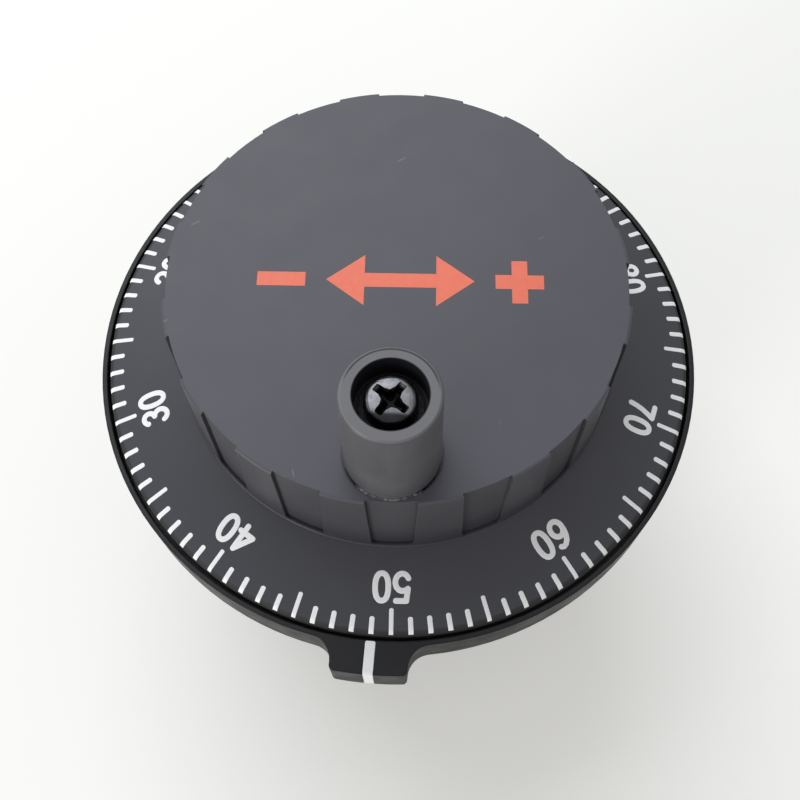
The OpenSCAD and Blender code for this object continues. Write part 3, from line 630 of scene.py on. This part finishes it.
def round_end(p, towards, half, cap=7):
    """Points round the end of a stroke that runs out towards a direction."""
    start = math.atan2(towards.y, towards.x) + math.pi / 2
    angles = [start - math.pi * k / cap for k in range(1, cap)]
    return [p + half * Vector((math.cos(a), math.sin(a))) for a in angles]


def round_stroke(points, half):
    """Outline of a line of that half width with round ends."""
    left, right = [], []
    for i, p in enumerate(points):
        along = (points[min(i + 1, len(points) - 1)] - points[max(i - 1, 0)]).normalized()
        side = Vector((-along.y, along.x)) * half
        left.append(p + side)
        right.append(p - side)
    far = round_end(points[-1], points[-1] - points[-2], half)
    near = round_end(points[0], points[0] - points[1], half)
    return left + far + right[::-1] + near


def inked(outlines, tops, lift):
    """A thin closed patch over the union of flat outlines, full height within tops and sloped to its rim."""
    points, rims = [], []
    for outline in outlines + tops:
        area = sum(a.x * b.y - a.y * b.x for a, b in zip(outline, outline[1:] + outline[:1]))
        rims.append(list(range(len(points), len(points) + len(outline))))
        points += outline if area > 0 else outline[::-1]
    flat, _, triangles, _, _, sources = delaunay_2d_cdt(points, [], rims, 1, 1e-6, True)
    kept, raised = [], set()
    for triangle, source in zip(triangles, sources):
        if source:
            kept.append(list(triangle))
            if any(s >= len(outlines) for s in source):
                raised.update(triangle)
    upper = [Vector((p.x, p.y, lift if i in raised else 0.45 * lift)) for i, p in enumerate(flat)]
    lower = [Vector((p.x, p.y, -INK_SUNK)) for p in flat]
    count = len(flat)
    faces = kept + [[count + i for i in reversed(t)] for t in kept]
    sides = {side for t in kept for side in zip(t, t[1:] + t[:1])}
    faces += [[b, a, count + a, count + b] for a, b in sorted(sides) if (b, a) not in sides]
    return upper + lower, faces


def drawn(strokes, width, lift=INK_LIFT):
    """Painted strokes as one patch with softly rounded rims."""
    wide = [round_stroke(points, width / 2) for points in strokes]
    top = [round_stroke(points, width / 2 - SLOPED_RIM) for points in strokes]
    return inked(wide, top, lift)


SQUARISH = 0.86
FIGURES = {
    "0": [arc(0, 0, 0.80, 1.64, 90, 270, 22, SQUARISH), arc(0, 0, 0.80, 1.64, -90, 90, 22, SQUARISH)],
    "1": [line((-0.48, 1.02), (-0.12, 1.28), (0.16, 1.64)), line((0.16, 1.64), (0.16, -1.64))],
    "2": [arc(0, 0.86, 0.78, 0.78, 172, -28, 18)
          + line((0.55, 0.25), (-0.06, -0.42), (-0.52, -0.98), (-0.76, -1.64)),
          line((-0.76, -1.64), (0.80, -1.64))],
    "3": [arc(0.02, 0.88, 0.72, 0.76, 158, -82, 18), arc(0.02, -0.76, 0.80, 0.88, 82, -158, 20)],
    "4": [line((0.42, 1.64), (0.42, -1.64)), line((0.42, 1.64), (-0.98, -0.72)),
          line((-0.98, -0.72), (0.92, -0.72))],
    "5": [line((0.72, 1.64), (-0.54, 1.64)), line((-0.54, 1.64), (-0.72, 0.16)),
          line((-0.72, 0.16), (-0.46, 0.36)) + arc(-0.02, -0.60, 0.84, 1.04, 108, -152, 22)],
    "6": [arc(-0.02, -0.66, 0.80, 0.98, 0, 180, 18), arc(-0.02, -0.66, 0.80, 0.98, 180, 360, 18),
          line((-0.82, -0.66), (-0.80, 0.02), (-0.66, 0.62), (-0.40, 1.14),
               (-0.02, 1.50), (0.34, 1.62), (0.66, 1.46))],
    "7": [line((-0.80, 1.64), (0.80, 1.64)),
          line((0.80, 1.64), (0.42, 0.90), (0.10, 0.10), (-0.12, -0.74), (-0.24, -1.64))],
    "8": [arc(0, 0.86, 0.68, 0.78, 0, 180, 16), arc(0, 0.86, 0.68, 0.78, 180, 360, 16),
          arc(0, -0.78, 0.80, 0.86, 0, 180, 16), arc(0, -0.78, 0.80, 0.86, 180, 360, 16)],
    "A": [line((-0.95, -1.64), (0.0, 1.64)), line((0.0, 1.64), (0.95, -1.64)),
          line((-0.62, -0.62), (0.62, -0.62))],
    "B": [line((-0.70, -1.64), (-0.70, 1.64)),
          line((-0.70, 1.64), (0.10, 1.64)) + arc(0.10, 0.86, 0.62, 0.78, 88, -88, 12),
          line((-0.70, 0.06), (0.10, 0.06)),
          line((-0.70, -1.64), (0.10, -1.64)) + arc(0.10, -0.78, 0.80, 0.86, -88, 88, 12)],
    "V": [line((-0.90, 1.64), (0.0, -1.64)), line((0.0, -1.64), (0.90, 1.64))],
    "+": [line((-0.85, 0.0), (0.85, 0.0)), line((0.0, -0.85), (0.0, 0.85))],
}
FIGURES["9"] = [[-p for p in points] for points in FIGURES["6"]]

TURN = math.radians(3.6)
FIRST_MARK = math.radians(270.0) + TURN
TICKS = 100
DIAL_R = 38.85
DIAL_RIM_Z = 7.7
DIAL_SLOPE = 0.25
DIAL_TILT = math.atan(DIAL_SLOPE)
EDGE_ROUND = 1.0
TICK_END = math.radians(60.0)
TICK_SLOPE = 0.07
SHORT_TICK = {"inner": 36.73, "half": 0.31}
LONG_TICK = {"inner": 35.69, "half": 0.27}
NUMBER_R = 33.26
NUMBER_PITCH = 2.47
NUMBER_STROKE = 0.70


def spread(text, pitch):
    """Each figure of a text with its distance from the text's middle."""
    return [(figure, (n - (len(text) - 1) / 2) * pitch) for n, figure in enumerate(text)]


def dial_z(r):
    """Height of the dial's coned face at a radius."""
    return DIAL_RIM_Z + DIAL_SLOPE * (DIAL_R - r)


def dial_numbers():
    """Numbers at each tenth tick, their tops outward, growing against the clock as seen from above."""
    parts = []
    for k in range(10):
        angle = FIRST_MARK + (k - 5) * math.radians(36.0)
        out = Vector((math.cos(angle), math.sin(angle), 0.0))
        along = Vector((out.y, -out.x, 0.0))
        up = out * math.cos(DIAL_TILT) - Z_AXIS * math.sin(DIAL_TILT)
        for figure, shift in spread(str(10 * k), NUMBER_PITCH):
            centre = out * NUMBER_R + along * shift + Z_AXIS * dial_z(math.hypot(NUMBER_R, shift))
            parts.append(placed(drawn(FIGURES[figure], NUMBER_STROKE), centre, along, up, along.cross(up)))
    return piece("dial_numbers", joined(parts), WHITE, "wheel")


def tick_path(inner, cap):
    """Points and normals from the inner end down the dial's cone and over its rounded edge."""
    path, normals = [], []
    flat = Vector((math.sin(DIAL_TILT), 0.0, math.cos(DIAL_TILT)))
    for k in range(7):
        r = inner + cap * (1 - math.cos(k * math.pi / 12))
        path.append(Vector((r, 0.0, dial_z(r))))
        normals.append(flat)
    edge = DIAL_R - EDGE_ROUND
    middle = Vector((edge, 0.0, dial_z(edge) - EDGE_ROUND / math.cos(DIAL_TILT)))
    for k in range(9):
        a = DIAL_TILT + (TICK_END - DIAL_TILT) * k / 8
        up = Vector((math.sin(a), 0.0, math.cos(a)))
        path.append(middle + up * EDGE_ROUND)
        normals.append(up)
    return path, normals


def painted_tick(inner, half):
    """A painted line over the dial's edge, with a round inner end and a square outer one."""
    path, normals = tick_path(inner, half)
    rings, gone = [], 0.0
    for i, (p, up) in enumerate(zip(path, normals)):
        gone += (p - path[max(i - 1, 0)]).length
        along = (path[min(i + 1, len(path) - 1)] - path[max(i - 1, 0)]).normalized()
        side = along.cross(up).normalized()
        wide = half
        if gone < half:
            wide = min(wide, half * math.sqrt(max(0.0, 1.0 - (1.0 - gone / half) ** 2)) + 0.02)
        flat = wide - min(TICK_SLOPE, wide * 0.45)
        rim = up * 0.5 * INK_LIFT
        rings.append([p - side * wide - up * INK_SUNK, p - side * wide + rim,
                      p - side * flat + up * INK_LIFT, p + side * flat + up * INK_LIFT,
                      p + side * wide + rim, p + side * wide - up * INK_SUNK])
    return loft(rings)


def round_tree(name):
    """Geometry Nodes: the part stands Count times round the shaft axis, and each place whose number can be
    divided by Left out each is left out where that is over 1."""
    tree = bpy.data.node_groups.new(name, "GeometryNodeTree")
    tree.interface.new_socket(name="Geometry", in_out="OUTPUT", socket_type="NodeSocketGeometry")
    tree.interface.new_socket(name="Geometry", in_out="INPUT", socket_type="NodeSocketGeometry")
    keys = {}
    for label, kind in (("Count", "Int"), ("First angle", "Float"), ("Step angle", "Float"),
                        ("Left out each", "Int"), ("Finish", "Material")):
        socket = tree.interface.new_socket(name=label, in_out="INPUT", socket_type="NodeSocket" + kind)
        keys[label] = socket.identifier
    given = add_node(tree, "NodeGroupInput").outputs
    result = add_node(tree, "NodeGroupOutput")
    places = add_node(tree, "GeometryNodeMeshLine", Count=given["Count"], Offset=(0.0, 0.0, 0.0))
    number = add_node(tree, "GeometryNodeInputIndex").outputs[0]
    angle = maths(tree, "MULTIPLY_ADD", number, given["Step angle"], given["First angle"])
    over_one = maths(tree, "GREATER_THAN", given["Left out each"], 1.5)
    rest = maths(tree, "MODULO", number, given["Left out each"])
    kept = maths(tree, "GREATER_THAN", rest, maths(tree, "SUBTRACT", over_one, 0.5))
    about = add_node(tree, "ShaderNodeCombineXYZ", Z=angle).outputs[0]
    stand = add_node(tree, "GeometryNodeInstanceOnPoints", Points=places.outputs[0], Selection=kept,
                     Instance=given["Geometry"], Rotation=about)
    real = add_node(tree, "GeometryNodeRealizeInstances", Geometry=stand.outputs[0])
    painted = add_node(tree, "GeometryNodeSetMaterial", Geometry=real.outputs[0], Material=given["Finish"])
    tree.links.new(painted.outputs[0], result.inputs[0])
    return tree, keys


def round_array(name, part, count, skip):
    """A part repeated round the shaft axis, as plain (verts, faces)."""
    base = closed_mesh(name, *part, WHITE)
    array = base.modifiers.new("round", "NODES")
    array.node_group, keys = round_tree(name + "_round")
    for label, value in (("Count", count), ("First angle", FIRST_MARK), ("Step angle", 2 * math.pi / count),
                         ("Left out each", skip), ("Finish", WHITE)):
        array[keys[label]] = value
    ready = bpy.data.meshes.new_from_object(base.evaluated_get(bpy.context.evaluated_depsgraph_get()))
    base.modifiers.clear()
    verts = [v.co / MM for v in ready.vertices]
    faces = [list(p.vertices) for p in ready.polygons]
    bpy.data.meshes.remove(ready)
    bpy.data.objects.remove(base)
    return verts, faces


def dial_ticks():
    """One hundred ticks, a longer one at each fifth, painted over the dial's edge."""
    fine = round_array("short_tick", painted_tick(**SHORT_TICK), TICKS, 5)
    bold = round_array("long_tick", painted_tick(**LONG_TICK), TICKS // 5, 1)
    return piece("dial_ticks", joined([fine, bold]), WHITE, "wheel")


TAB_TOP = 6.8
GROOVE_W = 1.24
GROOVE_T = 0.15
GROOVE_CORNER = 0.18
GROOVE_INNER_Y = -39.46
INDEX_PROUD = 0.012


def index_line():
    """White paint in the groove of the bezel's tab: a hair proud over its top, and down its front."""
    front = reach("bezel")[0].y
    half = GROOVE_W / 2
    stations = [(half - GROOVE_CORNER, GROOVE_INNER_Y, TAB_TOP, Z_AXIS, INDEX_PROUD),
                (half - 0.07, GROOVE_INNER_Y - 0.05, TAB_TOP, Z_AXIS, INDEX_PROUD),
                (half, GROOVE_INNER_Y - GROOVE_CORNER, TAB_TOP, Z_AXIS, INDEX_PROUD),
                (half, front + 0.25, TAB_TOP, Z_AXIS, INDEX_PROUD),
                (half, front, TAB_TOP, Z_AXIS - Y_AXIS, -0.03)]
    stations += [(half, front, z, -Y_AXIS, -0.008) for z in (TAB_TOP - 0.25, TAB_TOP / 2, 0.25)]
    skin = []
    for wide, y, z, up, lift in stations:
        p = Vector((0.0, y, z))
        deep = p - up * (GROOVE_T - 0.005)
        side, flat = X_AXIS * wide, X_AXIS * (wide - 0.05)
        rim = up * (lift - INDEX_PROUD)
        skin.append([deep - side, p - side + rim, p - flat + up * lift,
                     p + flat + up * lift, p + side + rim, deep + side])
    return piece("index_line", loft(skin), WHITE, "mount_body")


MARK_SPOT = (0.4, 0.1)
MARK_LIFT = 0.018


def direction_mark():
    """Minus, a two-headed arrow and plus on the knob's top."""
    bar, end, tall = 0.95, 17.2, 2.9
    head, tip, head_long = 3.45, 8.9, 4.6
    neck, middle = tip - head_long, end - tall
    minus = line((-end, -bar), (-end + 2 * tall, -bar), (-end + 2 * tall, bar), (-end, bar))
    across = line((middle - tall, -bar), (end, -bar), (end, bar), (middle - tall, bar))
    upright = line((middle - bar, -tall), (middle + bar, -tall), (middle + bar, tall), (middle - bar, tall))
    arrow = line((-tip, 0), (-neck, -head), (-neck, -bar), (neck, -bar), (neck, -head),
                 (tip, 0), (neck, head), (neck, bar), (-neck, bar), (-neck, head))
    shapes = [minus, across, upright, arrow]
    along = Vector((math.cos(TURN), math.sin(TURN), 0.0))
    centre = Vector((*MARK_SPOT, reach("handwheel")[1].z))
    mark = placed(inked(shapes, shapes, MARK_LIFT), centre, along, Z_AXIS.cross(along))
    return piece("direction_mark", mark, ORANGE, "wheel")


TERMINAL_PITCH = 9.0
LABEL_Y = 10.2
LABEL_SCALE = 0.62
LABEL_FIGURE_PITCH = 1.75
LABEL_STROKE = 0.42
LABEL_LIFT = 0.12


def terminal_labels():
    """Raised names of the four terminals on the shell's back, read from behind."""
    back = reach("rear_shell")[0].z
    parts = []
    for n, text in enumerate(("0V", "+5V", "A", "B")):
        x = (1.5 - n) * TERMINAL_PITCH
        for figure, shift in spread(text, LABEL_FIGURE_PITCH):
            small = [[LABEL_SCALE * p for p in points] for points in FIGURES[figure]]
            spot = Vector((x - shift, LABEL_Y, back))
            parts.append(placed(drawn(small, LABEL_STROKE, LABEL_LIFT), spot, -X_AXIS, Y_AXIS, -Z_AXIS))
    return piece("terminal_labels", joined(parts), WHITE, "mount_body")


# ---------------------------------------------------------------- screws

AROUND = 96
THREAD_AROUND = 30
THREAD_STEPS = 6
THREAD_DEPTH = 0.54
NECK_INSET = 0.05
FLANK_ANGLE = 20.0
LOBE_POWER = 1.6
CROWN_FALL = 0.12
RIM_FALL, RIM_POWER = 0.21, 14


def cross_reach(angle, tip, half, lobe):
    """Outline of a cross recess: four arms with blunt tips, and metal lobes that bulge in between them."""
    a = abs((math.degrees(angle) + 45.0) % 90.0 - 45.0)
    if a <= math.degrees(math.asin(min(1.0, half / tip))):
        return tip
    if a <= FLANK_ANGLE:
        return half / math.sin(math.radians(a))
    start = half / math.sin(math.radians(FLANK_ANGLE))
    return lobe + (start - lobe) * ((45.0 - a) / (45.0 - FLANK_ANGLE)) ** LOBE_POWER


def pan_top(r, head_r, head_h):
    """Height of a pan head's crown at radius r: nearly flat, then rolled over the rim."""
    t = min(1.0, r / head_r)
    return head_h * (1.0 - CROWN_FALL * t * t - RIM_FALL * t ** RIM_POWER)


def screw_head(head_r, head_h, neck_r, turn, tip, half, lobe, depth):
    """Pan head with a cross recess, seat at height 0, crown up."""
    angles = [2 * math.pi * i / AROUND for i in range(AROUND)]
    outline = [cross_reach(a - turn, tip, half, lobe) for a in angles]

    def ring(radii, heights):
        return [Vector((r * math.cos(a), r * math.sin(a), h)) for r, a, h in zip(radii, angles, heights)]

    def level(radii, height):
        return ring(radii, [height] * AROUND)

    def crown(radii):
        return ring(radii, [pan_top(r, head_r, head_h) for r in radii])

    rim = [pan_top(r, head_r, head_h) for r in outline]
    rings = [level([0.30 * r for r in outline], head_h - depth),
             level([0.62 * r for r in outline], head_h - 0.82 * depth),
             ring([0.93 * r for r in outline], [h - 0.22 for h in rim]),
             ring([0.99 * r for r in outline], [h - 0.05 for h in rim])]
    rings += [crown([r + (head_r - r) * t for r in outline])
              for t in (0.02, 0.12, 0.3, 0.5, 0.7, 0.84, 0.93, 0.98, 1.0)]
    rings += [level([radius] * AROUND, height)
              for radius, height in ((head_r, 0.08), (head_r - 0.08, 0.0), (neck_r, 0.0), (neck_r, -0.2))]
    return loft(rings)


def screw_thread(radius, pitch, top, bottom):
    """Threaded shank between two heights, tapered at its end."""
    rings = []
    count = max(2, int((top - bottom) / pitch * THREAD_STEPS))
    depth = THREAD_DEPTH * pitch
    for k in range(count + 1):
        z = top + (bottom - top) * k / count
        fade = max(0.0, min(1.0, (z - bottom) / (1.5 * pitch), (top - z) / pitch))
        end = 0.25 * pitch * max(0.0, 1.0 - (z - bottom) / pitch)
        ring = []
        for i in range(THREAD_AROUND):
            a = 2 * math.pi * i / THREAD_AROUND
            phase = (z / pitch - a / (2 * math.pi)) % 1.0
            crest = 1.0 - abs(2.0 * phase - 1.0)
            r = radius - depth * (1.0 - crest * fade) - end
            ring.append(Vector((r * math.cos(a), r * math.sin(a), z)))
        rings.append(ring)
    return loft(rings)


def solids_of(node):
    """Box of each separate solid of a frame node, in millimetres."""
    data = frame["nodes"][node].data
    group = list(range(len(data.vertices)))
    same_spot = {}

    def root(i):
        while group[i] != i:
            group[i] = group[group[i]]
            i = group[i]
        return i

    for v in data.vertices:
        spot = tuple(round(c * 1e6) for c in v.co)
        group[root(v.index)] = root(same_spot.setdefault(spot, v.index))
    for edge in data.edges:
        group[root(edge.vertices[0])] = root(edge.vertices[1])
    boxes = {}
    for v in data.vertices:
        point = v.co / MM
        low, high = boxes.setdefault(root(v.index), (point.copy(), point.copy()))
        for axis in range(3):
            low[axis] = min(low[axis], point[axis])
            high[axis] = max(high[axis], point[axis])
    return sorted(boxes.values(), key=lambda box: (round(box[0].x, 3), round(box[0].y, 3)))


def screws(name, node, body, head_h, shank_r, pitch, upward, turns, cross):
    """Pan-head screws in place of a node's solids. Each head takes head_h of the height, at the top where
    upward is true, and cross gives its recess: tip radius, half arm width, lobe radius and depth."""
    parts = []
    proud = Z_AXIS if upward else -Z_AXIS
    for (low, high), turn in zip(solids_of(node), turns):
        middle = (low + high) / 2
        seat = Vector((middle.x, middle.y, high.z - head_h if upward else low.z + head_h))
        head = screw_head((high.x - low.x) / 2, head_h, shank_r - NECK_INSET, turn, **cross)
        shank = screw_thread(shank_r, pitch, -0.1, head_h - (high.z - low.z))
        parts += [placed(head, seat, proud=proud), placed(shank, seat, proud=proud)]
    slot = slot_of_node[node]
    thing = piece(name, joined(parts), finish_of_slot[slot], body)
    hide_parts(node)


dial_numbers()
dial_ticks()
index_line()
direction_mark()
terminal_labels()
screws("crank_pan_screw", "crank_screw", "wheel", head_h=2.0, shank_r=1.5, pitch=0.5, upward=True,
       turns=[math.radians(55)], cross={"tip": 2.08, "half": 0.44, "lobe": 0.95, "depth": 1.5})
screws("terminal_pan_screws", "terminal_screws", "mount_body", head_h=2.0, shank_r=1.5, pitch=0.5,
       upward=False, turns=[0.2, 1.1, 0.6, 1.4],
       cross={"tip": 1.75, "half": 0.36, "lobe": 0.85, "depth": 1.3})
screws("shell_pan_screws", "shell_screws", "mount_body", head_h=1.9, shank_r=1.5, pitch=0.5, upward=False,
       turns=[0.9, 0.3, 1.3], cross={"tip": 1.70, "half": 0.36, "lobe": 0.84, "depth": 1.25})
screws("block_pan_screws", "block_screws", "mount_body", head_h=1.6, shank_r=1.25, pitch=0.45, upward=False,
       turns=[0.5, 1.2], cross={"tip": 1.40, "half": 0.31, "lobe": 0.70, "depth": 1.0})

studio()
